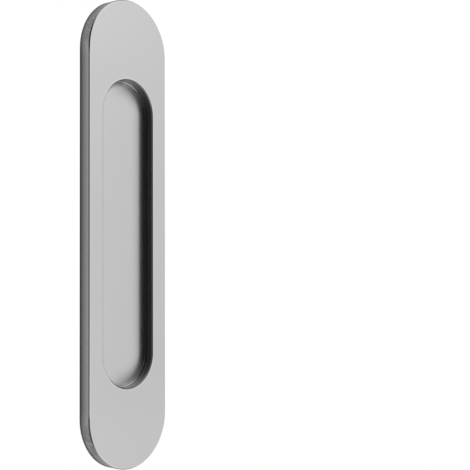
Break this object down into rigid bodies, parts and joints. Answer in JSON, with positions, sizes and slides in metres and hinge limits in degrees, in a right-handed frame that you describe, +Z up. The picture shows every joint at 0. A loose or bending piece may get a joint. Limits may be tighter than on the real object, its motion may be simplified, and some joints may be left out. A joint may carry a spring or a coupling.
{
  "type": "self-adhesive sliding door pull",
  "caption": "Slim round-ended metal plate with a long shallow finger pocket and an adhesive back, stuck upright on a sliding door to pull it by.",
  "frame": {"origin": "middle of the outermost back face, the face that is pressed to the door", "axes": "+Z up along the pull's length, +Y into the door, -Y out towards the user, +X to the right as seen by the user"},
  "size_m": [0.034, 0.0051, 0.15],
  "materials": {
    "satin_metal": "satin, finely ground",
    "foam_tape": "matte foam with a tacky skin",
    "liner_paper": "smooth, slightly glossy"
  },
  "bodies": {
    "root": {"pull_body": "satin_metal", "adhesive_tape": "foam_tape", "release_liner": "liner_paper"}
  },
  "joints": []
}
